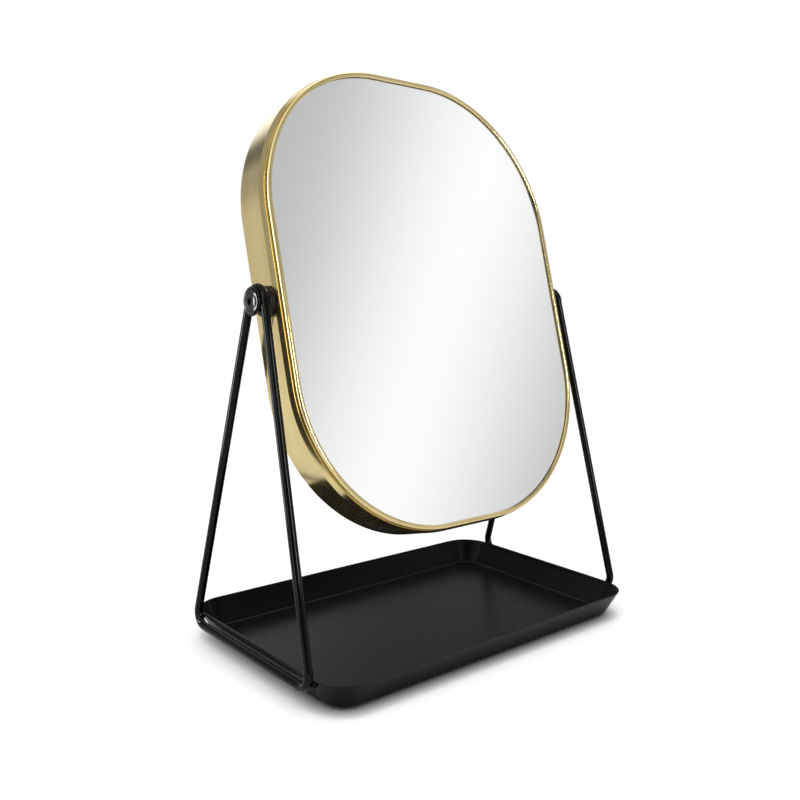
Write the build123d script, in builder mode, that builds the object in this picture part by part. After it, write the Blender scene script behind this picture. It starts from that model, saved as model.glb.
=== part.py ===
"""Tilting vanity mirror on two wire frames, with an open tray for a base.

Millimetres, +Z up, +X to the right and -Y to the front. The origin is on the
table, under the middle of the tray. The mirror stands at its resting tilt, with
its top leaning back, and turns about the X axis through its two pivot screws.
"""

from math import asin, atan, atan2, cos, degrees, hypot, radians, sin, tan
import os

from build123d import *

# ---------------------------------------------------------------- driving sizes

# Tray, pressed from one sheet with walls that lean outwards
tray_length = 250.0            # over the rim, along X
tray_width = 158.0             # over the rim, along Y
tray_height = 16.5             # from its underside to its rim
tray_sheet = 1.0
tray_corner_radius = 21.0      # at the rim, seen from above
tray_bend_radius = 4.0         # outside, from floor to wall
wall_lean_angle = 29.0         # from upright

# Hem, the thickened edge of each short wall, between the two legs
hem_height = 3.0
hem_thickness = 2.4
hem_end_slope = 4.5            # how far its lower edge stops short at each end
hem_leg_clearance = 1.2        # from the end of a hem to the leg beside it
hem_cover = 0.3                # what it adds above and outside the sheet
hem_edge_radius = 0.9

# Foot pads under the tray
pad_diameter = 12.0
pad_thickness = 1.2
pad_edge_distance = 14.0       # from the edge of the flat floor to a pad's centre

# Wire frames, each one closed loop of round wire
wire_diameter = 5.0
run_height = 12.4              # centre of the level run above the table
leg_spread = 123.0             # between the two legs, where they meet the run's line
foot_bend_radius = 8.0         # centre line, from run to leg
arch_radius = 7.3              # centre line, over the pivot
pivot_height = 210.5
rim_gap = 0.05                 # between the tray's rim and a leg, filled by the weld
weld_diameter = 3.2
weld_length = 3.6              # along the rim, across the leg
weld_end_radius = 0.8
weld_drop = 2.3                # from the rim down to the middle of a weld
weld_inset = 0.2               # from the rim in to the middle of a weld

# Mirror head
frame_width = 228.5
frame_height = 283.5
frame_depth = 27.5
pivot_setback = 13.0           # from the frame's front to the pivot axis
frame_corner_radius = 93.5
frame_sheet = 1.2
seat_wall = 2.4                # of the frame beside the glass, down to its ledge
tilt_angle = 15.85             # top leaning back from upright
slope_setback = 7.1            # from the frame's front to where its side slopes in
neck_setback = 4.1             # from the frame's front to the neck behind the outer bead
neck_inset = 1.4               # from the outside of the frame to the neck
outer_bead_setback = 2.4       # from the frame's front to the outer bead's widest point
outer_bead_inset = 0.5         # from the outside of the frame to that point
groove_distance = 1.5          # from the outside of the frame to the groove
groove_depth = 0.9             # from the crest of the inner bead, the frame's front
lip_width = 4.4                # from the outside of the frame to its inner edge
lip_edge_drop = 0.5            # from the crest of the inner bead to its edge
lip_edge_thickness = 0.5       # where the inner bead ends over the glass
glass_thickness = 1.5
glass_clearance = 0.4          # round the glass, inside the frame
foam_thickness = 1.0
foam_margin = 12.0             # from the glass edge to the foam pad's edge
core_thickness = 18.0
core_clearance = 0.3           # round the core board and the rear cover
core_rebate = 4.5              # depth of the step in the board's front edge, for the ledge
cover_thickness = 0.8
cover_screw_inset = 16.0       # from the frame's outside to a cover screw
cover_screw_angle = 50.0       # of the corner screws round the corner's centre, from level
cover_screw_shank = 2.5
cover_screw_length = 9.0
cover_screw_head = 5.6
cover_screw_head_height = 1.4
cover_hole_clearance = 0.15    # round a screw in the cover's hole

# Pivots, from the frame outwards
friction_washer_diameter = 11.5
friction_washer_thickness = 0.5
bush_diameter = 17.0
bush_thickness = 3.6
bush_edge_radius = 0.5
side_clearance = 0.35          # on each side of the wire, between bush and washer
washer_diameter = 16.0
washer_thickness = 0.8
head_diameter = 14.2
head_rim_height = 0.7          # of the screw head's straight rim
head_dome_height = 1.2
socket_width = 4.0             # of the hexagon socket, across its corners
socket_depth = 1.3
screw_diameter = 4.0
running_clearance = 0.06       # of the screw in the lug, on the radius
loose_clearance = 0.15         # of the screw in bush, washers and frame, on the radius
lug_thickness = 3.6
lug_radius = 6.2               # before the wire's shape is taken out of its edge
lug_weld_gap = 0.02            # between lug and wire
lug_seat_angle = 60.0          # how far the wire's seat goes below level, on each side
insert_diameter = 8.0
insert_length = 10.0
insert_bottom = 2.0            # solid end of the insert, past the screw's tip

# ----------------------------------------------------------- what follows from them

wire_radius = wire_diameter / 2
screw_radius = screw_diameter / 2
pad_top = pad_thickness
rim_height = pad_top + tray_height
wall_reach = tray_height * tan(radians(wall_lean_angle))
bend_run = tray_bend_radius * tan(radians(90 - wall_lean_angle) / 2)
floor_length = tray_length - 2 * (wall_reach + bend_run)
floor_width = tray_width - 2 * (wall_reach + bend_run)

bush_face = frame_width / 2 + friction_washer_thickness + bush_thickness
wire_x_at_pivot = bush_face + side_clearance + wire_radius
wire_x_at_rim = tray_length / 2 + rim_gap + wire_radius
wire_lean = atan((wire_x_at_rim - wire_x_at_pivot) / (pivot_height - rim_height))
wire_x_at_run = wire_x_at_rim + (rim_height - run_height) * tan(wire_lean)
washer_face = wire_x_at_pivot + wire_radius + side_clearance
head_face = washer_face + washer_thickness

half_spread = leg_spread / 2
arch_rise = (pivot_height - run_height) / cos(wire_lean)
corner_to_arch = hypot(half_spread, arch_rise)
leg_angle = atan2(half_spread, arch_rise) - asin(arch_radius / corner_to_arch)
leg_top = (arch_radius * cos(leg_angle), arch_rise + arch_radius * sin(leg_angle))
leg_y_at_rim = half_spread - (rim_height - run_height) / cos(wire_lean) * tan(leg_angle)
hem_length = 2 * (leg_y_at_rim - wire_radius / cos(leg_angle) - hem_leg_clearance)

front = pivot_setback
rear = front - frame_depth
lip_edge = front - lip_edge_drop
glass_front = lip_edge - lip_edge_thickness
glass_back = glass_front - glass_thickness
core_front = glass_back - foam_thickness
core_step = core_front - core_rebate
ledge = core_step + core_clearance
core_back = core_front - core_thickness
cover_back = core_back - cover_thickness
core_half_width = frame_width / 2 - frame_sheet - core_clearance
insert_inner_end = core_half_width - insert_length
screw_tip = insert_inner_end + insert_bottom

# The head's own plane: x to the right, y up the mirror, z out of its face
tilt = radians(tilt_angle)
up_the_mirror = (0, sin(tilt), cos(tilt))
out_of_the_face = (0, -cos(tilt), sin(tilt))
head = Plane(origin=(0, 0, pivot_height), x_dir=(1, 0, 0), z_dir=out_of_the_face)

os.makedirs("parts", exist_ok=True)


def save(builder, name):
    """Label a finished piece and write it to its own file."""
    builder.part.label = name
    export_step(builder.part, f"parts/{name}.step")


def save_pair(right, name):
    """Write a right-hand piece and its mirror image for the left side."""
    save(right, f"right_{name}")
    with BuildPart() as left:
        mirror(right.part, about=Plane.YZ)
    save(left, f"left_{name}")


def across(x):
    """A plane square to the pivot axis, at the distance x to the right."""
    return Plane(origin=(x, 0, pivot_height), x_dir=(0, 1, 0), z_dir=(1, 0, 0))


def ring(start, thickness, outer_radius, bore_radius):
    """A flat ring on the pivot axis, from start outwards."""
    with BuildPart() as piece:
        with BuildSketch(across(start)):
            Circle(outer_radius)
            Circle(bore_radius, mode=Mode.SUBTRACT)
        extrude(amount=thickness)
    return piece


def panel(level, thickness, inset):
    """A flat panel in the head, with the frame's outline drawn in by inset."""
    with BuildPart() as piece:
        with BuildSketch(head.offset(level)):
            RectangleRounded(
                frame_width - 2 * inset, frame_height - 2 * inset, frame_corner_radius - inset
            )
        extrude(amount=thickness)
    return piece


def dish(inset, floor_level, bend_radius):
    """A solid with the tray's leaning walls, its floor drawn in by inset."""
    with BuildPart() as piece:
        with BuildSketch(Plane.XY.offset(floor_level)):
            RectangleRounded(
                tray_length - 2 * inset, tray_width - 2 * inset, tray_corner_radius - inset
            )
        extrude(amount=rim_height - floor_level, taper=-wall_lean_angle)
        fillet(piece.faces().sort_by(Axis.Z)[0].edges(), bend_radius)
    return piece


# ------------------------------------------------------------------------- tray

# The right hem, whose lower edge stops short at both ends
with BuildPart() as hem:
    with BuildSketch(Plane.YZ.offset(tray_length / 2 + hem_cover - hem_thickness)):
        with BuildLine():
            hem_top = rim_height + hem_cover
            Polyline(
                (-hem_length / 2, hem_top),
                (hem_length / 2, hem_top),
                (hem_length / 2 - hem_end_slope, hem_top - hem_height),
                (-hem_length / 2 + hem_end_slope, hem_top - hem_height),
                close=True,
            )
        make_face()
    extrude(amount=hem_thickness)
    fillet(hem.edges().filter_by(Axis.Y), hem_edge_radius)

# The hollow is a smaller dish, so that floor and walls keep the sheet's thickness
sheet_step = tray_sheet * (1 - sin(radians(wall_lean_angle))) / cos(radians(wall_lean_angle))
tray_inside = dish(wall_reach + sheet_step, pad_top + tray_sheet, tray_bend_radius - tray_sheet)
with BuildPart() as tray:
    add(dish(wall_reach, pad_top, tray_bend_radius).part)
    add(tray_inside.part, mode=Mode.SUBTRACT)
    add(hem.part)
    mirror(hem.part, about=Plane.YZ)
save(tray, "tray")

with BuildPart() as foot_pads:
    with BuildSketch():
        with GridLocations(floor_length - 2 * pad_edge_distance, floor_width - 2 * pad_edge_distance, 2, 2):
            Circle(pad_diameter / 2)
    extrude(amount=pad_thickness)
save(foot_pads, "foot_pads")

# ------------------------------------------------------------------ wire frames

# The wire's own plane leans in towards the mirror: x is the depth, y runs up it
wire_plane = Plane(
    origin=(wire_x_at_run, 0, run_height),
    x_dir=(0, 1, 0),
    z_dir=(cos(wire_lean), 0, sin(wire_lean)),
)
run_section = Plane(origin=(wire_x_at_run, 0, run_height), x_dir=(1, 0, 0), z_dir=(0, 1, 0))

with BuildPart() as wire_frame:
    with BuildLine(wire_plane) as half_loop:
        FilletPolyline((0, 0), (half_spread, 0), leg_top, radius=foot_bend_radius)
        CenterArc((0, arch_rise), arch_radius, degrees(leg_angle), 90 - degrees(leg_angle))
    with BuildSketch(run_section):
        Circle(wire_radius)
    sweep(path=half_loop.wire())
    mirror(about=Plane.XZ)
save_pair(wire_frame, "wire_frame")

# A disc welded into the arch, with the bore that the pivot screw turns in
with BuildPart() as lug:
    with BuildSketch(across(wire_x_at_pivot - lug_thickness / 2)):
        Circle(lug_radius)
        Circle(screw_radius + running_clearance, mode=Mode.SUBTRACT)
    extrude(amount=lug_thickness)
    with BuildLine(wire_plane) as lug_seat:
        CenterArc((0, arch_rise), arch_radius, -lug_seat_angle, 180 + 2 * lug_seat_angle)
    with BuildSketch(Plane(lug_seat.wire() @ 0, z_dir=lug_seat.wire() % 0)):
        Circle(wire_radius + lug_weld_gap)
    sweep(path=lug_seat.wire(), mode=Mode.SUBTRACT)
save_pair(lug, "pivot_lug")

# One tack weld under the rim at each leg, shaped by what it joins
with BuildPart() as right_welds:
    with BuildSketch(Plane.XZ.offset(-leg_y_at_rim - weld_length / 2)):
        with Locations((tray_length / 2 - weld_inset, rim_height - weld_drop)):
            Circle(weld_diameter / 2)
    extrude(amount=weld_length)
    fillet(right_welds.edges().filter_by(GeomType.CIRCLE), weld_end_radius)
    mirror(about=Plane.XZ)
    add(tray_inside.part, mode=Mode.SUBTRACT)
    add(tray.part, mode=Mode.SUBTRACT)
    add(wire_frame.part, mode=Mode.SUBTRACT)

with BuildPart() as weld_beads:
    add(right_welds.part)
    mirror(right_welds.part, about=Plane.YZ)
save(weld_beads, "weld_beads")

# ------------------------------------------------------------------ mirror head

# The frame's section: x is the distance in from its outside, y points to the front
section = Plane(
    origin=head.from_local_coords((frame_width / 2, 0, 0)),
    x_dir=(-1, 0, 0),
    z_dir=up_the_mirror,
)
straight_side = frame_height / 2 - frame_corner_radius
straight_top = frame_width / 2 - frame_corner_radius

with BuildPart() as mirror_frame:
    with BuildLine(head) as upper_half:
        side = Line((frame_width / 2, 0), (frame_width / 2, straight_side))
        corner = CenterArc((straight_top, straight_side), frame_corner_radius, 0, 90)
        top = Line(corner @ 1, (-straight_top, frame_height / 2))
        far_corner = CenterArc((-straight_top, straight_side), frame_corner_radius, 90, 90)
        Line(far_corner @ 1, (-frame_width / 2, 0))
    with BuildSketch(section):
        with BuildLine():
            outside = Line((0, rear), (0, front - slope_setback))
            slope = Line(outside @ 1, (neck_inset, front - neck_setback))
            outer_bead = ThreePointArc(
                slope @ 1,
                (outer_bead_inset, front - outer_bead_setback),
                (groove_distance, front - groove_depth),
            )
            crest = ((groove_distance + lip_width) / 2, front)
            inner_bead = ThreePointArc(outer_bead @ 1, crest, (lip_width, lip_edge))
            Polyline(
                inner_bead @ 1,
                (lip_width, glass_front),
                (seat_wall, glass_front),
                (seat_wall, ledge),
                (frame_sheet, ledge),
                (frame_sheet, rear),
                outside @ 0,
            )
        make_face()
    sweep(path=upper_half.wire())
    mirror(about=Plane(origin=head.origin, z_dir=up_the_mirror))
    with BuildSketch(across(-frame_width / 2)):
        Circle(screw_radius + loose_clearance)
    extrude(amount=frame_width, mode=Mode.SUBTRACT)
save(mirror_frame, "mirror_frame")

glass = panel(glass_back, glass_thickness, seat_wall + glass_clearance)
save(glass, "mirror_glass")

foam = panel(core_front, foam_thickness, seat_wall + glass_clearance + foam_margin)
save(foam, "foam_pad")

# Six wood screws hold the rear cover to the core board
screw_circle = frame_corner_radius - cover_screw_inset
corner_screw_x = straight_top + screw_circle * cos(radians(cover_screw_angle))
corner_screw_y = straight_side + screw_circle * sin(radians(cover_screw_angle))
cover_screw_places = [
    (sign * distance, height)
    for sign in (-1, 1)
    for distance, height in (
        (corner_screw_x, corner_screw_y),
        (frame_width / 2 - cover_screw_inset, 0),
        (corner_screw_x, -corner_screw_y),
    )
]

core_rear = panel(core_back, core_step - core_back, frame_sheet + core_clearance)
core_fore = panel(core_step, core_rebate, seat_wall + core_clearance)
with BuildPart() as core_board:
    add(core_rear.part)
    add(core_fore.part)
    with BuildSketch(head.offset(core_back)):
        with Locations(*cover_screw_places):
            Circle(cover_screw_shank / 2)
    extrude(amount=cover_screw_length, mode=Mode.SUBTRACT)
    for start in (-core_half_width, insert_inner_end):
        with BuildSketch(across(start)):
            Circle(insert_diameter / 2)
        extrude(amount=insert_length, mode=Mode.SUBTRACT)
save(core_board, "core_board")

cover = panel(cover_back, cover_thickness, frame_sheet + core_clearance)
with BuildPart() as rear_cover:
    add(cover.part)
    with BuildSketch(head.offset(cover_back)):
        with Locations(*cover_screw_places):
            Circle(cover_screw_shank / 2 + cover_hole_clearance)
    extrude(amount=cover_thickness, mode=Mode.SUBTRACT)
save(rear_cover, "rear_cover")

with BuildPart() as cover_screws:
    with BuildSketch(head.offset(cover_back)):
        with Locations(*cover_screw_places):
            Circle(cover_screw_shank / 2)
    extrude(amount=cover_thickness + cover_screw_length)
    with BuildSketch(head.offset(cover_back)):
        with Locations(*cover_screw_places):
            Circle(cover_screw_head / 2)
    extrude(amount=-cover_screw_head_height)
    head_rims = cover_screws.edges().filter_by(GeomType.CIRCLE).group_by(SortBy.RADIUS)[-1]
    outer_rims = head_rims.sort_by(Axis(head.origin, out_of_the_face))[: len(cover_screw_places)]
    fillet(outer_rims, cover_screw_head_height / 2)
save(cover_screws, "cover_screws")

# ----------------------------------------------------------------------- pivots

loose_bore = screw_radius + loose_clearance

friction_washer = ring(
    frame_width / 2, friction_washer_thickness, friction_washer_diameter / 2, loose_bore
)
save_pair(friction_washer, "friction_washer")

bush_start = bush_face - bush_thickness
plain_bush = ring(bush_start, bush_thickness, bush_diameter / 2, loose_bore)
with BuildPart() as bush:
    add(plain_bush.part)
    fillet(bush.edges().filter_by(GeomType.CIRCLE).group_by(SortBy.RADIUS)[-1], bush_edge_radius)
save_pair(bush, "pivot_bush")

washer = ring(washer_face, washer_thickness, washer_diameter / 2, loose_bore)
save_pair(washer, "pivot_washer")

# Half the screw's section, from its tip out to the dome, turned about the pivot axis
head_top = head_face + head_rim_height
dome_top = head_top + head_dome_height
head_radius = head_diameter / 2
dome_radius = (head_radius**2 + head_dome_height**2) / (2 * head_dome_height)
with BuildPart() as pivot_screw:
    with BuildSketch(Plane.XZ):
        with BuildLine():
            outline = Polyline(
                (dome_top, pivot_height),
                (screw_tip, pivot_height),
                (screw_tip, pivot_height + screw_radius),
                (head_face, pivot_height + screw_radius),
                (head_face, pivot_height + head_radius),
                (head_top, pivot_height + head_radius),
            )
            RadiusArc(outline @ 1, outline @ 0, dome_radius)
        make_face()
    revolve(axis=Axis((0, 0, pivot_height), (1, 0, 0)))
    with BuildSketch(across(dome_top - socket_depth)):
        RegularPolygon(socket_width / 2, 6)
    extrude(amount=socket_depth, mode=Mode.SUBTRACT)
save_pair(pivot_screw, "pivot_screw")

with BuildPart() as insert:
    with BuildSketch(across(insert_inner_end)):
        Circle(insert_diameter / 2)
    extrude(amount=insert_length)
    with BuildSketch(across(screw_tip)):
        Circle(screw_radius)
    extrude(amount=insert_length - insert_bottom, mode=Mode.SUBTRACT)
save_pair(insert, "threaded_insert")
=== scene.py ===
"""The looks of a tilting vanity mirror on two wire frames, with an open tray for a base.

Metres, +Z up, +X to the right and -Y to the front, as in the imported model. The sizes
below repeat the model's own, so that each modelled piece lies where its node does. A few
more are for looks alone, such as how a round shape is cut.
"""

from math import asin, atan, atan2, cos, hypot, pi, radians, sin, sqrt, tan

import bpy
import bmesh
from mathutils import Matrix, Vector


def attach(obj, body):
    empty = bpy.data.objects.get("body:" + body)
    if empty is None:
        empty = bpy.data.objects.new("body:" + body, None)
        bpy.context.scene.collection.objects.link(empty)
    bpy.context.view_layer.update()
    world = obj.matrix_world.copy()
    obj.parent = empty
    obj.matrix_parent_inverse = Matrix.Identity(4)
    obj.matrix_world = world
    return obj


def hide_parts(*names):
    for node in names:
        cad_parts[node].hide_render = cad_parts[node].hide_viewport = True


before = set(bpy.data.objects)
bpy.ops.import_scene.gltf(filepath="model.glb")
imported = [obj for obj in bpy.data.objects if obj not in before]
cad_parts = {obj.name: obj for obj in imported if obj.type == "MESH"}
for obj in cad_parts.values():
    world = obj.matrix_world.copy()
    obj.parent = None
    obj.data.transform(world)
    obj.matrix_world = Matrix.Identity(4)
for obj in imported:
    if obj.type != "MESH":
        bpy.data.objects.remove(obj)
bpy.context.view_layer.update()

# ------------------------------------------------------------------------ sizes

tray_length = 0.250
tray_width = 0.158
tray_height = 0.0165
tray_sheet = 0.001
tray_corner_radius = 0.021
tray_bend_radius = 0.004
wall_lean = radians(29)
rim_round = 0.0003             # of the rim's two edges
rim_cut_inset = 0.00003        # of the middle of its inner edge's rounding
rim_cut_drop = 0.00012

hem_height = 0.003
hem_thickness = 0.0024
hem_leg_clearance = 0.0012
hem_cover = 0.0003
hem_edge_radius = 0.0009
hem_end_height = 0.35          # share of its height that is left at the ends
hem_end_thickness = 0.45       # share of its thickness that is left at the ends

pad_diameter = 0.012
pad_thickness = 0.0012
pad_edge_distance = 0.014
pad_edge_radius = 0.0003

wire_diameter = 0.005
run_height = 0.0124
leg_spread = 0.123
foot_bend_radius = 0.008
arch_radius = 0.0073
pivot_height = 0.2105
rim_gap = 0.00005

frame_width = 0.2285
frame_height = 0.2835
frame_depth = 0.0275
pivot_setback = 0.013
frame_corner_radius = 0.0935
frame_sheet = 0.0012
frame_edge_round = 0.0004      # of the band's rear edge
seat_wall = 0.0024
tilt = radians(15.85)
slope_setback = 0.0071
neck_setback = 0.0041
neck_inset = 0.0014
outer_bead_setback = 0.0024
outer_bead_inset = 0.0005
groove_distance = 0.0015
groove_depth = 0.0009
lip_width = 0.0044
lip_edge_drop = 0.0005
lip_edge_thickness = 0.0005
glass_thickness = 0.0015
glass_clearance = 0.0004
glass_bevel = 0.0003
glass_seat = 0.00004           # between the glass and what it touches
foam_thickness = 0.001
core_thickness = 0.018
core_clearance = 0.0003
core_rebate = 0.0045
cover_thickness = 0.0008
cover_screw_inset = 0.016
cover_screw_angle = radians(50)
cover_screw_head = 0.0056
cover_screw_head_height = 0.0014
cover_screw_dome_radius = 0.0035
cover_screw_dome_turns = (0.75, 0.6, 0.45, 0.3)   # of its rings, in radians from its top
cross_reach = 0.0014           # of the recess, from the middle to an arm's end
cross_half_width = 0.00035
cross_foot_reach = 0.0008
cross_foot_half_width = 0.0002
cross_depth = 0.0009

friction_washer_diameter = 0.0115
friction_washer_thickness = 0.0005
friction_washer_edge_radius = 0.0001
bush_diameter = 0.017
bush_thickness = 0.0036
bush_edge_radius = 0.0005
side_clearance = 0.00035
washer_diameter = 0.016
washer_thickness = 0.0008
washer_edge_radius = 0.0002
head_diameter = 0.0142
head_rim_height = 0.0007
head_dome_height = 0.0012
head_edge_radius = 0.0003
ring_inner = 0.86              # share of the dome's reach, as are the next two
dish_outer = 0.78
dish_inner = 0.4
dish_depth = 0.00035           # of the head's face inside its raised ring
socket_width = 0.004
socket_depth = 0.0013
socket_chamfer = 0.00025
socket_end_radius = 0.0005     # of the flat end of its drilled cone
screw_diameter = 0.004

# Where the middle of a rounded edge lies, as a share of its radius in from both faces
soft_middle = 0.2
round_middle = 0.3

# How finely round shapes are cut
edge_steps = 8
bead_steps = 12
head_corner_steps = 40
glass_corner_steps = 32
tray_corner_steps = 20
foot_steps = 16
arch_steps = 40
dish_steps = 5
hem_steps = 24
hem_end_steps = 5
wire_sides = 32
pad_sides = 48
turned_sides = 96
merge_distance = 1e-7

# ------------------------------------------------------------- what follows from them

wire_radius = wire_diameter / 2
rim_height = pad_thickness + tray_height
wall_reach = tray_height * tan(wall_lean)
bend_run = tray_bend_radius * tan((pi / 2 - wall_lean) / 2)
bush_face = frame_width / 2 + friction_washer_thickness + bush_thickness
wire_x_at_pivot = bush_face + side_clearance + wire_radius
wire_x_at_rim = tray_length / 2 + rim_gap + wire_radius
wire_lean = atan((wire_x_at_rim - wire_x_at_pivot) / (pivot_height - rim_height))
wire_x_at_run = wire_x_at_rim + (rim_height - run_height) * tan(wire_lean)
washer_face = wire_x_at_pivot + wire_radius + side_clearance
head_face = washer_face + washer_thickness
head_top = head_face + head_rim_height
half_spread = leg_spread / 2
arch_rise = (pivot_height - run_height) / cos(wire_lean)
leg_angle = atan2(half_spread, arch_rise) - asin(arch_radius / hypot(half_spread, arch_rise))
leg_y_at_rim = half_spread - (rim_height - run_height) / cos(wire_lean) * tan(leg_angle)
hem_length = 2 * (leg_y_at_rim - wire_radius / cos(leg_angle) - hem_leg_clearance)

front = pivot_setback
rear = front - frame_depth
lip_edge = front - lip_edge_drop
glass_front = lip_edge - lip_edge_thickness
glass_back = glass_front - glass_thickness
core_front = glass_back - foam_thickness
ledge = core_front - core_rebate + core_clearance
cover_back = core_front - core_thickness - cover_thickness

both_sides = ((-1, "left"), (1, "right"))
pivot = Vector((0, 0, pivot_height))
right_way = Vector((1, 0, 0))
up_the_mirror = Vector((0, sin(tilt), cos(tilt)))
out_of_the_face = Vector((0, -cos(tilt), sin(tilt)))


def in_head(x, y, z):
    """A point of the mirror head: x to the right, y up the mirror, z out of its face."""
    return pivot + x * right_way + y * up_the_mirror + z * out_of_the_face


# -------------------------------------------------------------------- outlines


def arc(centre, radius, start, end, steps):
    """Points on an arc in a plane, both ends included, with angles in radians."""
    turns = [start + (end - start) * i / steps for i in range(steps + 1)]
    return [(centre[0] + radius * cos(a), centre[1] + radius * sin(a)) for a in turns]


def arc_by_three(start, middle, end, steps):
    """Points on the arc from start through middle to end."""
    (ax, ay), (bx, by), (cx, cy) = start, middle, end
    a, b, c = (x**2 + y**2 for x, y in (start, middle, end))
    twice_area = 2 * (ax * (by - cy) + bx * (cy - ay) + cx * (ay - by))
    centre = (
        (a * (by - cy) + b * (cy - ay) + c * (ay - by)) / twice_area,
        (a * (cx - bx) + b * (ax - cx) + c * (bx - ax)) / twice_area,
    )
    first = atan2(ay - centre[1], ax - centre[0])
    last = atan2(cy - centre[1], cx - centre[0])
    return arc(centre, hypot(ax - centre[0], ay - centre[1]), first, last, steps)


def rounded_corner(before, corner, after, radius, steps):
    """Points of the arc that rounds a corner of a polyline."""
    corner = Vector(corner)
    back = (Vector(before) - corner).normalized()
    on = (Vector(after) - corner).normalized()
    half = back.angle(on) / 2
    centre = corner + (back + on).normalized() * radius / sin(half)
    first = corner + back * radius / tan(half) - centre
    last = corner + on * radius / tan(half) - centre
    start = atan2(first.y, first.x)
    turn = atan2(first.x * last.y - first.y * last.x, first.dot(last))
    return arc(centre, radius, start, start + turn, steps)


def rounded_rectangle(length, width, radius, steps):
    """Points of a rounded rectangle with their outward normals, anticlockwise."""
    points = []
    for quarter, (sx, sy) in enumerate(((1, 1), (-1, 1), (-1, -1), (1, -1))):
        centre = (sx * (length / 2 - radius), sy * (width / 2 - radius))
        for i in range(steps + 1):
            a = (quarter + i / steps) * pi / 2
            normal = Vector((cos(a), sin(a)))
            points.append((Vector(centre) + radius * normal, normal))
    return points


# ------------------------------------------------------------------- mesh tools


def dress(obj, body, materials, nodes=(), sharp=40):
    """Shading with crisp edges, or flat if sharp is 0, materials, and the piece's place in the model."""
    bm = bmesh.new()
    bm.from_mesh(obj.data)
    bmesh.ops.remove_doubles(bm, verts=bm.verts, dist=merge_distance)
    bmesh.ops.recalc_face_normals(bm, faces=bm.faces)
    bm.to_mesh(obj.data)
    bm.free()
    if sharp:
        obj.data.shade_smooth()
        obj.data.set_sharp_from_angle(angle=radians(sharp))
        weighted = obj.modifiers.new("even_normals", "WEIGHTED_NORMAL")
        weighted.keep_sharp = True
    else:
        obj.data.shade_flat()
    for material in materials:
        obj.data.materials.append(material)
    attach(obj, body)
    if nodes:
        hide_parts(*nodes)
    return obj


def skin(name, rings, closed=False, caps=False):
    """A mesh through rings of points. Its UV map runs along the rings and round them, in metres."""
    count = len(rings[0])
    along = [0.0]
    for here, there in zip(rings, rings[1:] + rings[:1]):
        along.append(along[-1] + sum((b - a).length for a, b in zip(here, there)) / count)
    around = [0.0]
    for here, there in zip(rings[0], rings[0][1:] + rings[0][:1]):
        around.append(around[-1] + (there - here).length)
    faces = []
    places = []
    for i in range(len(rings) if closed else len(rings) - 1):
        row = i * count
        following = (i + 1) % len(rings) * count
        for j in range(count):
            k = (j + 1) % count
            faces.append((row + j, following + j, following + k, row + k))
            places += [(along[i], around[j]), (along[i + 1], around[j])]
            places += [(along[i + 1], around[j + 1]), (along[i], around[j + 1])]
    if caps:
        faces.append(tuple(range(count)))
        faces.append(tuple((len(rings) - 1) * count + j for j in reversed(range(count))))
        places += [(0.0, 0.0)] * (2 * count)
    mesh = bpy.data.meshes.new(name)
    mesh.from_pydata([tuple(p) for ring in rings for p in ring], [], faces)
    run = mesh.uv_layers.new(name="run")
    for loop, place in zip(run.data, places):
        loop.uv = place
    obj = bpy.data.objects.new(name, mesh)
    bpy.context.scene.collection.objects.link(obj)
    return obj


def join(name, parts):
    """Several meshes as one object."""
    with bpy.context.temp_override(active_object=parts[0], selected_editable_objects=parts):
        bpy.ops.object.join()
    parts[0].name = name
    parts[0].data.name = name
    return parts[0]


def turned(name, profile, axis_point, axis, across, steps, closed=False):
    """A mesh turned about an axis from (distance along it, radius or radius function) pairs."""
    beside = axis.cross(across)
    rings = []
    for distance, radius in profile:
        ring = []
        for i in range(steps):
            a = 2 * pi * i / steps
            r = radius(a) if callable(radius) else radius
            ring.append(axis_point + distance * axis + r * (cos(a) * across + sin(a) * beside))
        rings.append(ring)
    return skin(name, rings, closed=closed, caps=not closed)


def hexagon(width):
    """The radius of a hexagon socket at an angle, from its width across the corners."""
    apothem = width / 2 * cos(pi / 6)
    return lambda a: apothem / cos((a + pi / 6) % (pi / 3) - pi / 6)


def cross_slot(length, half_width):
    """The radius of a cross recess at an angle."""

    def radius(a):
        off = (a + pi / 4) % (pi / 2) - pi / 4
        reach = length / cos(off)
        return min(reach, half_width / abs(sin(off))) if off else reach

    return radius


# -------------------------------------------------------------------- materials

# The part of a noise's range over which a value wanders, and over which a colour does
noise_low = 0.3
noise_high = 0.7
cloud_low = 0.35
cloud_high = 0.65


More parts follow.
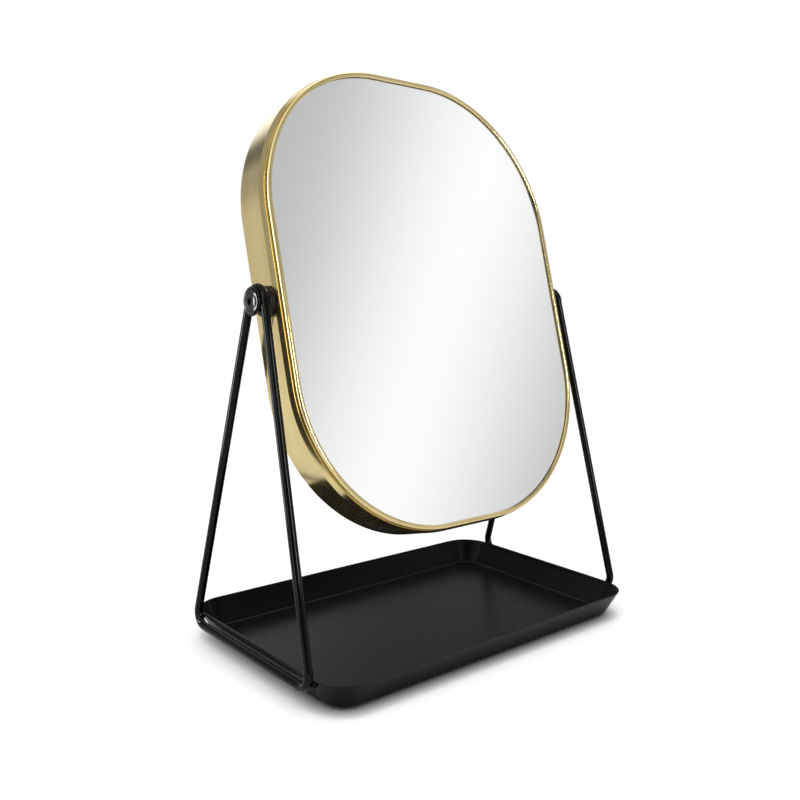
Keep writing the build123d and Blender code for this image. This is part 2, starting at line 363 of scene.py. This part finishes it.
class Finish:
    """A material whose even values sit on the shader's sockets and whose detail comes from noise."""

    def __init__(self, name, **sockets):
        self.material = bpy.data.materials.new(name)
        self.material.use_nodes = True
        self.nodes = self.material.node_tree.nodes
        self.links = self.material.node_tree.links
        self.shader = self.nodes["Principled BSDF"]
        self.coordinates = self.nodes.new("ShaderNodeTexCoord")
        self.normal = None
        for socket, value in sockets.items():
            self.shader.inputs[socket.replace("_", " ")].default_value = value

    def noise(self, scale, stretch=(1, 1, 1), detail=2.0, space="Object"):
        """A noise from 0 to 1, its scale in waves per metre, stretched along each axis."""
        mapping = self.nodes.new("ShaderNodeMapping")
        mapping.inputs["Scale"].default_value = stretch
        self.links.new(self.coordinates.outputs[space], mapping.inputs["Vector"])
        noise = self.nodes.new("ShaderNodeTexNoise")
        noise.inputs["Scale"].default_value = scale
        noise.inputs["Detail"].default_value = detail
        self.links.new(mapping.outputs["Vector"], noise.inputs["Vector"])
        return noise.outputs["Fac"]

    def vary(self, socket, low, high, fac):
        """Lets a value of the shader wander between two limits."""
        spread = self.nodes.new("ShaderNodeMapRange")
        spread.inputs["From Min"].default_value = noise_low
        spread.inputs["From Max"].default_value = noise_high
        spread.inputs["To Min"].default_value = low
        spread.inputs["To Max"].default_value = high
        self.links.new(fac, spread.inputs["Value"])
        self.links.new(spread.outputs["Result"], self.shader.inputs[socket])

    def tint(self, one, other, fac):
        """Lets the colour wander between two."""
        ramp = self.nodes.new("ShaderNodeValToRGB")
        ends = zip(ramp.color_ramp.elements, (cloud_low, cloud_high), (one, other))
        for end, position, colour in ends:
            end.position = position
            end.color = (*colour, 1)
        self.links.new(fac, ramp.inputs["Fac"])
        self.links.new(ramp.outputs["Color"], self.shader.inputs["Base Color"])

    def bump(self, height, strength, fac):
        """Adds relief, its height in metres."""
        bump = self.nodes.new("ShaderNodeBump")
        bump.inputs["Strength"].default_value = strength
        bump.inputs["Distance"].default_value = height
        self.links.new(fac, bump.inputs["Height"])
        if self.normal:
            self.links.new(self.normal, bump.inputs["Normal"])
        self.normal = bump.outputs["Normal"]
        self.links.new(self.normal, self.shader.inputs["Normal"])


def brushed_gold():
    """Pale brass, brushed along the band, under a thin clear lacquer."""
    one = (0.53, 0.427, 0.2)
    other = (0.575, 0.467, 0.225)
    hairline_grain = (25, 4000, 1)     # waves per metre along the band and across it
    cloud_grain = (30, 120, 1)
    hairline_height = 0.0000004
    gold = Finish("brushed_gold", Metallic=0.97, Roughness=0.13, Coat_Weight=0.06, Coat_Roughness=0.1)
    hairlines = gold.noise(1, hairline_grain, detail=3, space="UV")
    gold.vary("Roughness", 0.11, 0.15, hairlines)
    gold.tint(one, other, gold.noise(1, cloud_grain, detail=2, space="UV"))
    gold.bump(hairline_height, strength=0.3, fac=hairlines)
    return gold.material


def powder_coat(name, colour, low, high, gloss, grain, relief):
    """Baked black paint with a fine orange-peel skin."""
    lighter = 1.15
    cloud_grain = 90
    paint = Finish(name, Specular_IOR_Level=gloss)
    paint.tint(colour, tuple(c * lighter for c in colour), paint.noise(cloud_grain, detail=3))
    paint.vary("Roughness", low, high, paint.noise(grain / 2, detail=3))
    paint.bump(relief, strength=0.5, fac=paint.noise(grain, detail=2))
    return paint.material


def silver():
    """The silvering on the back of the glass."""
    cloud_grain = 8
    back = Finish("silvering", Metallic=1.0, Roughness=0.0)
    back.tint((0.93, 0.935, 0.935), (0.94, 0.94, 0.94), back.noise(cloud_grain))
    return back.material


def clear_glass():
    """The glass in front of the silvering."""
    cloud_grain = 8
    glass = Finish("clear_glass", Roughness=0.0, IOR=1.5, Transmission_Weight=1.0)
    glass.tint((0.985, 0.995, 0.99), (0.99, 1.0, 0.995), glass.noise(cloud_grain))
    return glass.material


def moulded_black():
    """Black plastic with the slight waviness of a moulding."""
    cloud_grain = 120
    sheen_grain = 500
    skin_grain = 1500
    skin_height = 0.00002
    plastic = Finish("moulded_black", Specular_IOR_Level=0.2)
    plastic.tint((0.007, 0.0062, 0.0075), (0.01, 0.009, 0.0105), plastic.noise(cloud_grain))
    plastic.vary("Roughness", 0.26, 0.36, plastic.noise(sheen_grain))
    plastic.bump(skin_height, strength=0.3, fac=plastic.noise(skin_grain))
    return plastic.material


def plain_metal(name, one, other, low, high):
    """Turned or plated metal with faint tool marks."""
    cloud_grain = 200
    sheen_grain = 900
    mark_grain = 3000
    mark_height = 0.00001
    metal = Finish(name, Metallic=1.0)
    metal.tint(one, other, metal.noise(cloud_grain))
    metal.vary("Roughness", low, high, metal.noise(sheen_grain, (1, 1, 4)))
    metal.bump(mark_height, strength=0.3, fac=metal.noise(mark_grain, (1, 1, 3)))
    return metal.material


def matt(name, one, other, low, high, grain, relief):
    """A dull material, such as rubber, foam or fibreboard."""
    dull = Finish(name)
    dull.tint(one, other, dull.noise(grain, detail=4))
    dull.vary("Roughness", low, high, dull.noise(grain / 3))
    dull.bump(relief, strength=0.6, fac=dull.noise(grain, detail=4))
    return dull.material


gold = brushed_gold()

# Colour, roughness from and to, gloss, grain in waves per metre and height of the skin
tray_black = powder_coat("tray_black", (0.0034, 0.0036, 0.0046), 0.24, 0.3, 0.055, 2500, 0.00001)
wire_black = powder_coat("wire_black", (0.001, 0.001, 0.0012), 0.05, 0.08, 0.12, 1800, 0.0000005)
screw_black = powder_coat("screw_black", (0.0015, 0.0015, 0.0018), 0.1, 0.16, 0.2, 3000, 0.000004)
cover_black = powder_coat("cover_black", (0.008, 0.008, 0.0085), 0.45, 0.55, 0.4, 3000, 0.00002)

bush_black = moulded_black()

# Two colours, roughness from and to, grain in waves per metre and height of the relief
washer_nylon = matt("washer_nylon", (0.02, 0.02, 0.02), (0.03, 0.03, 0.03), 0.5, 0.6, 900, 0.00001)
pad_rubber = matt("pad_rubber", (0.02, 0.02, 0.02), (0.03, 0.03, 0.03), 0.75, 0.9, 1600, 0.00003)
foam_grey = matt("foam_grey", (0.22, 0.22, 0.22), (0.32, 0.32, 0.32), 0.9, 1.0, 1500, 0.0001)
fibreboard = matt("fibreboard", (0.36, 0.25, 0.15), (0.46, 0.33, 0.2), 0.8, 0.95, 700, 0.00005)

# Two colours, roughness from and to
zinc = plain_metal("zinc", (0.55, 0.56, 0.58), (0.62, 0.62, 0.63), 0.28, 0.4)
insert_brass = plain_metal("insert_brass", (0.66, 0.48, 0.22), (0.72, 0.54, 0.27), 0.22, 0.34)

# ------------------------------------------------------------------- mirror head


def band_section():
    """The band's section from its rear edge: distance in from its outside, and depth."""
    e = frame_edge_round
    neck = (neck_inset, front - neck_setback)
    outer_bead = (outer_bead_inset, front - outer_bead_setback)
    groove = (groove_distance, front - groove_depth)
    crest = ((groove_distance + lip_width) / 2, front)
    section = arc((e, rear + e), e, -pi / 2, -pi, edge_steps)
    section.append((0.0, front - slope_setback))
    section += arc_by_three(neck, outer_bead, groove, bead_steps)
    section += arc_by_three(groove, crest, (lip_width, lip_edge), bead_steps)[1:]
    section += [(lip_width, glass_front), (seat_wall, glass_front)]
    section += [(seat_wall, ledge), (frame_sheet, ledge)]
    section += arc((frame_sheet - e, rear + e), e, 0, -pi / 2, edge_steps)
    return section


def head_outline():
    """The head's outline as points with outward normals, with spare points on its straight sides."""
    corners = rounded_rectangle(frame_width, frame_height, frame_corner_radius, head_corner_steps)
    straight = frame_corner_radius / 4     # no step round a corner is this long
    outline = []
    for here, there in zip(corners, corners[1:] + corners[:1]):
        outline.append(here)
        if (there[0] - here[0]).length > straight:
            outline.append(((here[0] + there[0]) / 2, here[1]))
    return outline


def mirror_band():
    """The brushed band round the head, with its two beads in front."""
    section = band_section()
    rings = []
    for place, normal in head_outline():
        ring = []
        for inset, depth in section:
            p = place - inset * normal
            ring.append(in_head(p.x, p.y, depth))
        rings.append(ring)
    band = skin("mirror_band", rings, closed=True)
    return dress(band, "mirror_head", [gold], ["mirror_frame"], sharp=15)


def glass_pane():
    """Clear glass with a silvered back, so that the lip's reflection lies behind a dark gap."""
    inset = seat_wall + glass_clearance
    top = glass_front - glass_seat
    section = [
        (inset, glass_back + glass_seat),
        (inset, top - glass_bevel),
        (inset + glass_bevel, top),
    ]
    outline = rounded_rectangle(frame_width, frame_height, frame_corner_radius, glass_corner_steps)
    rings = []
    for distance, depth in section:
        ring = []
        for place, normal in outline:
            p = place - distance * normal
            ring.append(in_head(p.x, p.y, depth))
        rings.append(ring)
    pane = skin("glass_pane", rings, caps=True)
    dress(pane, "mirror_head", [clear_glass(), silver()], ["mirror_glass"], sharp=0)
    for face in pane.data.polygons:
        if round(face.normal.dot(out_of_the_face)) == -1:
            face.material_index = 1
    return pane


def cover_screw(name, x, y):
    """A pan-head screw with a cross recess, seen from behind."""
    h = cover_screw_head_height
    dome = cover_screw_dome_radius
    crown = [(h - dome * (1 - cos(a)), dome * sin(a)) for a in cover_screw_dome_turns]
    mouth = cross_slot(cross_reach, cross_half_width)
    foot = cross_slot(cross_foot_reach, cross_foot_half_width)
    profile = [(0.0, cover_screw_head / 2)] + crown + [(h, mouth), (h - cross_depth, foot)]
    seat = in_head(x, y, cover_back)
    return turned(name, profile, seat, -out_of_the_face, right_way, turned_sides)


def cover_screws():
    """Six screw heads on the rear cover: two beside each round end and one on each side."""
    straight_side = frame_height / 2 - frame_corner_radius
    straight_top = frame_width / 2 - frame_corner_radius
    circle = frame_corner_radius - cover_screw_inset
    corner_x = straight_top + circle * cos(cover_screw_angle)
    corner_y = straight_side + circle * sin(cover_screw_angle)
    side_x = frame_width / 2 - cover_screw_inset
    one_side = ((corner_x, corner_y), (side_x, 0), (corner_x, -corner_y))
    places = [(s * x, y) for s in (-1, 1) for x, y in one_side]
    heads = [cover_screw(f"cover_screw_{i}", x, y) for i, (x, y) in enumerate(places)]
    screws = join("cover_screw_heads", heads)
    return dress(screws, "mirror_head", [zinc], ["cover_screws"], sharp=35)


# ----------------------------------------------------------------------- pivots

quarter_turns = [radians(a) for a in (0, 22.5, 45, 67.5, 90)]


def ring_profile(start, thickness, diameter, edge):
    """A flat ring's section round the screw, with its outer edges rounded."""
    end = start + thickness
    outer = diameter / 2
    bore = screw_diameter / 2
    profile = [(start, bore)]
    profile += [(start + edge - edge * cos(a), outer - edge + edge * sin(a)) for a in quarter_turns]
    profile += [(end - edge + edge * sin(a), outer - edge + edge * cos(a)) for a in quarter_turns]
    profile.append((end, bore))
    return profile


def pivot_piece(side, name, profile, material, closed=True):
    """A piece turned about the line through both pivots, which tilts with the mirror."""
    axis = right_way * side
    piece = turned(f"{name}_shape", profile, pivot, axis, up_the_mirror, turned_sides, closed)
    return dress(piece, "mirror_head", [material], [name], sharp=35)


def screw_profile():
    """The screw's section from its tip to its socket."""
    r = head_diameter / 2
    e = head_edge_radius
    dome = (r**2 + head_dome_height**2) / (2 * head_dome_height)
    reach = asin((r - e) / dome)
    profile = [(head_face - bush_thickness, screw_diameter / 2), (head_face, screw_diameter / 2)]
    profile += [(head_face, r - e / 2), (head_face + e / 2, r)]
    profile += [(head_top - e / 2, r), (head_top + e * soft_middle, r - e * soft_middle)]
    crown = head_top + head_dome_height
    for share in (1.0, (1 + ring_inner) / 2, ring_inner):
        a = reach * share
        profile.append((crown - dome * (1 - cos(a)), dome * sin(a)))
    for i in range(dish_steps + 1):
        a = reach * (dish_outer - (dish_outer - dish_inner) * i / dish_steps)
        profile.append((crown - dish_depth - dome * (1 - cos(a)), dome * sin(a)))
    top = profile[-1][0]
    profile.append((top, hexagon(socket_width + 2 * socket_chamfer)))
    profile.append((top - socket_chamfer, hexagon(socket_width)))
    profile.append((top - socket_depth, hexagon(socket_width)))
    profile.append((top - socket_depth - socket_chamfer, socket_end_radius))
    return profile


def pivots():
    """On each side, from the band outwards: friction washer, bush, flange and screw."""
    nylon = ring_profile(
        frame_width / 2, friction_washer_thickness, friction_washer_diameter, friction_washer_edge_radius
    )
    bush_start = bush_face - bush_thickness
    bush = ring_profile(bush_start, bush_thickness, bush_diameter, bush_edge_radius)
    washer = ring_profile(washer_face, washer_thickness, washer_diameter, washer_edge_radius)
    screw = screw_profile()
    for side, word in both_sides:
        pivot_piece(side, f"{word}_friction_washer", nylon, washer_nylon)
        pivot_piece(side, f"{word}_pivot_bush", bush, bush_black)
        pivot_piece(side, f"{word}_pivot_washer", washer, screw_black)
        pivot_piece(side, f"{word}_pivot_screw", screw, screw_black, closed=False)


# ------------------------------------------------------------------ wire frames


def wire_route():
    """The closed centre line in the wire's own plane: across, and up along it."""
    corner = (half_spread, 0)
    leg_top = (arch_radius * cos(leg_angle), arch_rise + arch_radius * sin(leg_angle))
    foot = rounded_corner((0, 0), corner, leg_top, foot_bend_radius, foot_steps)
    arch = arc((0, arch_rise), arch_radius, leg_angle, pi - leg_angle, arch_steps)
    left_foot = [(-x, y) for x, y in reversed(foot)]
    return foot + arch + left_foot


def wire_frame(side, word):
    """One closed loop of round wire, leaning in towards the head."""
    up_the_wire = Vector((-side * sin(wire_lean), 0, cos(wire_lean)))
    out_of_plane = Vector((side * cos(wire_lean), 0, sin(wire_lean)))
    start = Vector((side * wire_x_at_run, 0, run_height))
    points = [start + Vector((0, y, 0)) + rise * up_the_wire for y, rise in wire_route()]
    turns = [2 * pi * i / wire_sides for i in range(wire_sides)]
    rings = []
    for before, here, after in zip(points[-1:] + points[:-1], points, points[1:] + points[:1]):
        ahead = ((here - before).normalized() + (after - here).normalized()).normalized()
        beside = ahead.cross(out_of_plane)
        rings.append([here + wire_radius * (cos(a) * beside + sin(a) * out_of_plane) for a in turns])
    wire = skin(f"{word}_wire", rings, closed=True)
    return dress(wire, "stand", [wire_black], [f"{word}_wire_frame"])


# ------------------------------------------------------------------------- tray


def tray_profile():
    """The tray's section from its underside over the rim to its floor: inset and height."""
    lean_tan = tan(wall_lean)
    step = tray_sheet * (1 - sin(wall_lean)) / cos(wall_lean)
    outer_bottom = pad_thickness
    inner_bottom = pad_thickness + tray_sheet
    inner_radius = tray_bend_radius - tray_sheet
    turn = pi / 2 - wall_lean

    def bend(inset, level, radius):
        """The rounding from floor to wall, from the floor side."""
        centre = (inset + radius * tan(turn / 2), level + radius)
        return arc(centre, radius, -pi / 2, -pi / 2 - turn, edge_steps)

    outer = bend(wall_reach, outer_bottom, tray_bend_radius)
    inner = bend(wall_reach + step, inner_bottom, inner_radius)
    rim_inner = step + tray_sheet * lean_tan
    r = rim_round
    cut = r * round_middle
    rim = [(r * lean_tan, rim_height - r), (cut, rim_height - cut), (r, rim_height)]
    rim += [(rim_inner - r, rim_height), (rim_inner + rim_cut_inset, rim_height - rim_cut_drop)]
    rim += [(rim_inner + r * lean_tan, rim_height - r)]
    return outer + rim + list(reversed(inner))


def tray_shell():
    """The pressed tray, one sheet thick."""
    outline = rounded_rectangle(tray_length, tray_width, tray_corner_radius, tray_corner_steps)
    rings = []
    for inset, level in tray_profile():
        ring = []
        for place, normal in outline:
            p = place - inset * normal
            ring.append(Vector((p.x, p.y, level)))
        rings.append(ring)
    shell = skin("tray_shell", rings, caps=True)
    return dress(shell, "stand", [tray_black], ["tray"], sharp=60)


def hem_strip(side, word):
    """The thickened edge of a short wall, with rounded edges and sloping ends."""
    x_outer = tray_length / 2 + hem_cover
    top = rim_height + hem_cover
    middle_x = x_outer - hem_thickness / 2
    roundest = 2.2             # how many edge radii fit in a side at least
    rings = []
    for i in range(hem_steps + 1):
        share = i / hem_steps
        end = min(share, 1 - share) * hem_steps / hem_end_steps
        swell = sqrt(max(1 - max(1 - end, 0.0) ** 2, 0.0))
        y = (share - 0.5) * hem_length
        height = hem_height * (hem_end_height + (1 - hem_end_height) * swell)
        thick = hem_thickness * (hem_end_thickness + (1 - hem_end_thickness) * swell)
        r = min(hem_edge_radius, height / roundest, thick / roundest)
        low = top - height
        ring = []
        for sx, sz, first in ((1, 1, 0), (-1, 1, 90), (-1, -1, 180), (1, -1, 270)):
            cx = middle_x + sx * (thick / 2 - r)
            cz = (top if sz > 0 else low) - sz * r
            for turn in quarter_turns:
                a = radians(first) + turn
                ring.append(Vector((side * (cx + r * cos(a)), y, cz + r * sin(a))))
        rings.append(ring)
    strip = skin(f"{word}_rim_hem", rings, caps=True)
    return dress(strip, "stand", [tray_black], sharp=50)


def foot_pads():
    """Four round pads under the tray's floor."""
    floor_length = tray_length - 2 * (wall_reach + bend_run)
    floor_width = tray_width - 2 * (wall_reach + bend_run)
    x = floor_length / 2 - pad_edge_distance
    y = floor_width / 2 - pad_edge_distance
    r = pad_diameter / 2
    e = pad_edge_radius
    cut = e * round_middle
    profile = [(0.0, r - e), (cut, r - cut), (e, r), (pad_thickness, r)]
    up = Vector((0, 0, 1))
    pads = []
    for sx in (-1, 1):
        for sy in (-1, 1):
            place = Vector((sx * x, sy * y, 0))
            pads.append(turned(f"pad_{sx}_{sy}", profile, place, up, right_way, pad_sides))
    return dress(join("rubber_pads", pads), "stand", [pad_rubber], ["foot_pads"])


# ------------------------------------------------------------- CAD nodes that stay

kept = {
    "foam_pad": foam_grey,
    "core_board": fibreboard,
    "rear_cover": cover_black,
    "weld_beads": tray_black,
    "left_pivot_lug": wire_black,
    "right_pivot_lug": wire_black,
    "left_threaded_insert": insert_brass,
    "right_threaded_insert": insert_brass,
}

mirror_band()
glass_pane()
cover_screws()
pivots()
for side, word in both_sides:
    wire_frame(side, word)
    hem_strip(side, word)
tray_shell()
foot_pads()
for name, material in kept.items():
    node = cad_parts[name]
    node.data.materials.clear()
    node.data.materials.append(material)

# ------------------------------------------------------------------ floor and light


def calculate(tree, operation, *values):
    """The result of a math node that is fed with sockets or plain numbers."""
    node = tree.nodes.new("ShaderNodeMath")
    node.operation = operation
    for socket, value in zip(node.inputs, values):
        if isinstance(value, float):
            socket.default_value = value
        else:
            tree.links.new(value, socket)
    return node.outputs[0]


def floor():
    """A white table that shows as white where it is unshaded and keeps the object's shadow. Painted
    shade also darkens its colour and glow wherever ambient occlusion finds the object close by.
    """
    glow = 0.2
    shade_reach = 0.01
    closed_in = 0.2            # as open as this or less, the floor's colour and glow are wholly painted shade
    # The floor's colour in its painted shade, and where it is open
    painted_shade_colour = (0.2, 0.2, 0.2, 1)
    open_colour = (0.86, 0.86, 0.865, 1)
    reach = 6.0
    mesh = bpy.data.meshes.new("table_top")
    corners = [(-reach, -reach, 0), (reach, -reach, 0), (reach, reach, 0), (-reach, reach, 0)]
    mesh.from_pydata(corners, [], [(0, 1, 2, 3)])
    table = bpy.data.objects.new("table_top", mesh)
    bpy.context.scene.collection.objects.link(table)
    material = bpy.data.materials.new("table_white")
    material.use_nodes = True
    tree = material.node_tree
    shader = tree.nodes["Principled BSDF"]
    shader.inputs["Roughness"].default_value = 1.0
    shader.inputs["Specular IOR Level"].default_value = 0.0
    # Painted shade: an ambient-occlusion mask that darkens the floor's colour and glow near the object
    occlusion = tree.nodes.new("ShaderNodeAmbientOcclusion")
    occlusion.inputs["Distance"].default_value = shade_reach
    openness = tree.nodes.new("ShaderNodeMapRange")
    openness.inputs["From Min"].default_value = closed_in
    tree.links.new(occlusion.outputs["AO"], openness.inputs["Value"])
    path = tree.nodes.new("ShaderNodeLightPath")
    seen = 0.0
    for ray in ("Is Camera Ray", "Is Glossy Ray", "Is Transmission Ray"):
        seen = calculate(tree, "MULTIPLY_ADD", path.outputs[ray], glow, seen)
    # The painted shade dims the glow as well
    seen = calculate(tree, "MULTIPLY", seen, openness.outputs["Result"])
    shader.inputs["Emission Color"].default_value = (1, 1, 1, 1)
    tree.links.new(seen, shader.inputs["Emission Strength"])
    colour = tree.nodes.new("ShaderNodeMix")
    colour.data_type = "RGBA"
    colour.inputs["A"].default_value = painted_shade_colour
    colour.inputs["B"].default_value = open_colour
    tree.links.new(openness.outputs["Result"], colour.inputs["Factor"])
    tree.links.new(colour.outputs["Result"], shader.inputs["Base Color"])
    mesh.materials.append(material)


def heading(azimuth, elevation):
    """A direction, from its angle to the right of the front and its height above the horizon."""
    a = radians(azimuth)
    e = radians(elevation)
    return Vector((sin(a) * cos(e), -cos(a) * cos(e), sin(e)))


# Soft lights and dark patches round the studio: where each is, the angles from there within
# which it is full and beyond which it is gone, and how much light it adds
even_light = 0.55
patches = [
    (heading(161, 21), 5, 20, 0.9),
    (heading(-178, 24), 2, 13, -0.35),
    (heading(-140, -2), 8, 26, 0.36),
    (heading(97, 30), 18, 34, -0.38),
    (heading(-60, 35), 8, 30, 1.2),
    (heading(-42, 8), 10, 24, -0.5),
    (heading(137, 60), 12, 28, 2.0),
]

# A bright ridge along the line between two directions, which fades away from its middle
ridge_from = heading(36.7, 7.6)
ridge_to = heading(55, 29.4)
ridge_middle = heading(45, 18)
ridge_full = 20
ridge_none = 50
ridge_width = 13.0
ridge_gain = 0.5

diffuse_light = 0.95
seen_white = 1.0


def studio():
    """White to the camera, and a soft uneven studio to everything that reflects."""
    world = bpy.data.worlds.new("studio")
    bpy.context.scene.world = world
    world.use_nodes = True
    tree = world.node_tree
    direction = tree.nodes.new("ShaderNodeTexCoord").outputs["Generated"]
    path = tree.nodes.new("ShaderNodeLightPath")

    def towards(way):
        """The cosine of the angle between the ray and a direction."""
        dot = tree.nodes.new("ShaderNodeVectorMath")
        dot.operation = "DOT_PRODUCT"
        dot.inputs[1].default_value = way
        tree.links.new(direction, dot.inputs[0])
        return dot.outputs["Value"]

    def rise(value, zero, one, gain):
        """Grows smoothly from nothing to the gain while the value goes from one limit to the other."""
        spread = tree.nodes.new("ShaderNodeMapRange")
        spread.interpolation_type = "SMOOTHSTEP"
        spread.inputs["From Min"].default_value = zero
        spread.inputs["From Max"].default_value = one
        spread.inputs["To Max"].default_value = gain
        tree.links.new(value, spread.inputs["Value"])
        return spread.outputs["Result"]

    def patch(way, full, none, gain):
        """A round patch that is full within one angle of a direction and gone beyond another."""
        return rise(towards(way), cos(radians(none)), cos(radians(full)), gain)

    def choose(ray, otherwise, strength):
        """The strength for one kind of ray, and otherwise the other value."""
        mixed = tree.nodes.new("ShaderNodeMix")
        tree.links.new(path.outputs[ray], mixed.inputs["Factor"])
        tree.links.new(otherwise, mixed.inputs["A"])
        mixed.inputs["B"].default_value = strength
        return mixed.outputs["Result"]

    level = even_light
    for way, full, none, gain in patches:
        level = calculate(tree, "ADD", patch(way, full, none, gain), level)
    across = ridge_from.cross(ridge_to).normalized()
    off = calculate(tree, "ABSOLUTE", towards(across))
    ridge = rise(off, sin(radians(ridge_width)), 0.0, ridge_gain)
    near = patch(ridge_middle, ridge_full, ridge_none, 1.0)
    level = calculate(tree, "ADD", calculate(tree, "MULTIPLY", ridge, near), level)

    level = choose("Is Diffuse Ray", level, diffuse_light)
    level = choose("Is Camera Ray", level, seen_white)
    background = tree.nodes["Background"]
    background.inputs["Color"].default_value = (1, 1, 1, 1)
    tree.links.new(level, background.inputs["Strength"])


def lamp(name, centre, way, width, height, power):
    """A rectangular lamp that shines one way."""
    light = bpy.data.lights.new(name, "AREA")
    light.shape = "RECTANGLE"
    light.size = width
    light.size_y = height
    light.energy = power
    obj = bpy.data.objects.new(name, light)
    bpy.context.scene.collection.objects.link(obj)
    obj.location = centre
    obj.rotation_euler = way.to_track_quat("-Z", "Y").to_euler()
    return obj


def soft_lamp(name, way, distance, width, height, power):
    """A lamp that lights the whole object, turned to its middle."""
    middle = Vector((0, 0, 0.15))
    lamp(name, middle + way * distance, -way, width, height, power)


def glint_lamp(name, centre, width, height, strength):
    """An upright lamp that only shiny surfaces show, with its strength as they mirror it."""
    power_per_area = 4         # of a lamp whose face glows with a strength of 1
    inwards = Vector((-centre.x, -centre.y, 0))
    power = power_per_area * width * height * strength
    glint = lamp(name, centre, inwards, width, height, power)
    glint.visible_camera = False
    glint.visible_diffuse = False
    glint.visible_transmission = False


floor()
studio()

# Direction, distance, width, height and power
soft_lamp("overhead", heading(-30, 70), 1.6, 1.2, 1.2, 4)
soft_lamp("left_strip", heading(-75, 20), 1.5, 0.25, 1.4, 7)
soft_lamp("right_strip", heading(80, 25), 1.5, 0.25, 1.4, 1.5)

# Centre, width, height and strength
glint_lamp("front_strip", Vector((0.14, -1.13, 0.48)), 0.11, 0.5, 30)
glint_lamp("low_strip", Vector((-0.41, 0.19, 0.185)), 0.04, 0.3, 32)

# ---------------------------------------------------------------------- camera

camera_place = Vector((-0.37297, -0.41426, 0.22199))
camera_heading = 0.7079
camera_pitch = 0.1325
camera_roll = 0.0186
focal_pixels = 880.85
picture_pixels = 800
sensor = 36.0
nearest = 0.01
farthest = 50


def camera():
    """The camera, as solved from the photo."""
    data = bpy.data.cameras.new("camera")
    data.sensor_width = sensor
    data.lens = focal_pixels * sensor / picture_pixels
    data.clip_start = nearest
    data.clip_end = farthest
    eye = bpy.data.objects.new("camera", data)
    bpy.context.scene.collection.objects.link(eye)
    turn = Matrix.Rotation(-camera_heading, 4, "Z")
    lift = Matrix.Rotation(pi / 2 - camera_pitch, 4, "X")
    roll = Matrix.Rotation(camera_roll, 4, "Z")
    eye.matrix_world = Matrix.Translation(camera_place) @ turn @ lift @ roll
    bpy.context.scene.camera = eye


camera()
bpy.context.scene.view_settings.view_transform = "Standard"
